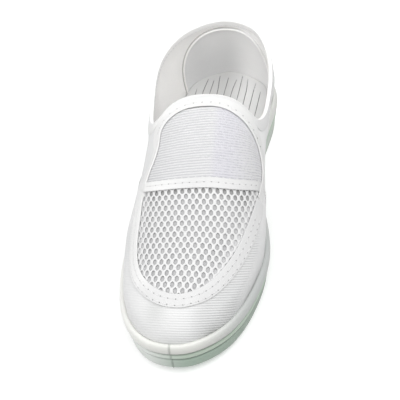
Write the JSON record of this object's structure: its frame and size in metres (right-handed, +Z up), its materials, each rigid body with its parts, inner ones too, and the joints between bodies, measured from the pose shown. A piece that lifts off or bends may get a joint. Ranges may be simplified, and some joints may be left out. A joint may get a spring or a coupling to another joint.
{
  "type": "cleanroom shoe",
  "caption": "White slip-on cleanroom shoe for the left foot, with a ribbed gore over the instep, a mesh vamp and a moulded sole with a stepped side.",
  "frame": {"origin": "on the floor, under the middle of the sole's bounding box", "axes": "+Z up, toe towards -Y and heel towards +Y, +X to the outer (little toe) side"},
  "size_m": [0.0933, 0.266, 0.0878],
  "materials": {
    "moulded_sole": "satin white moulding with a faint green cast",
    "insole_cloth": "grey-white cloth with dark lengthwise lines",
    "coated_cloth": "white coated cloth, slightly shiny",
    "ribbed_gore": "finely ribbed white elastic",
    "open_mesh": "white open mesh",
    "tape": "smooth white tape"
  },
  "bodies": {
    "root": {"sole": "moulded_sole", "insole": "insole_cloth", "upper": "coated_cloth", "instep_gore": "ribbed_gore", "mesh_panel": "open_mesh", "gore_front_tape": "tape", "throat_band": "tape", "window_band": "tape", "collar_binding": "tape"}
  },
  "joints": []
}
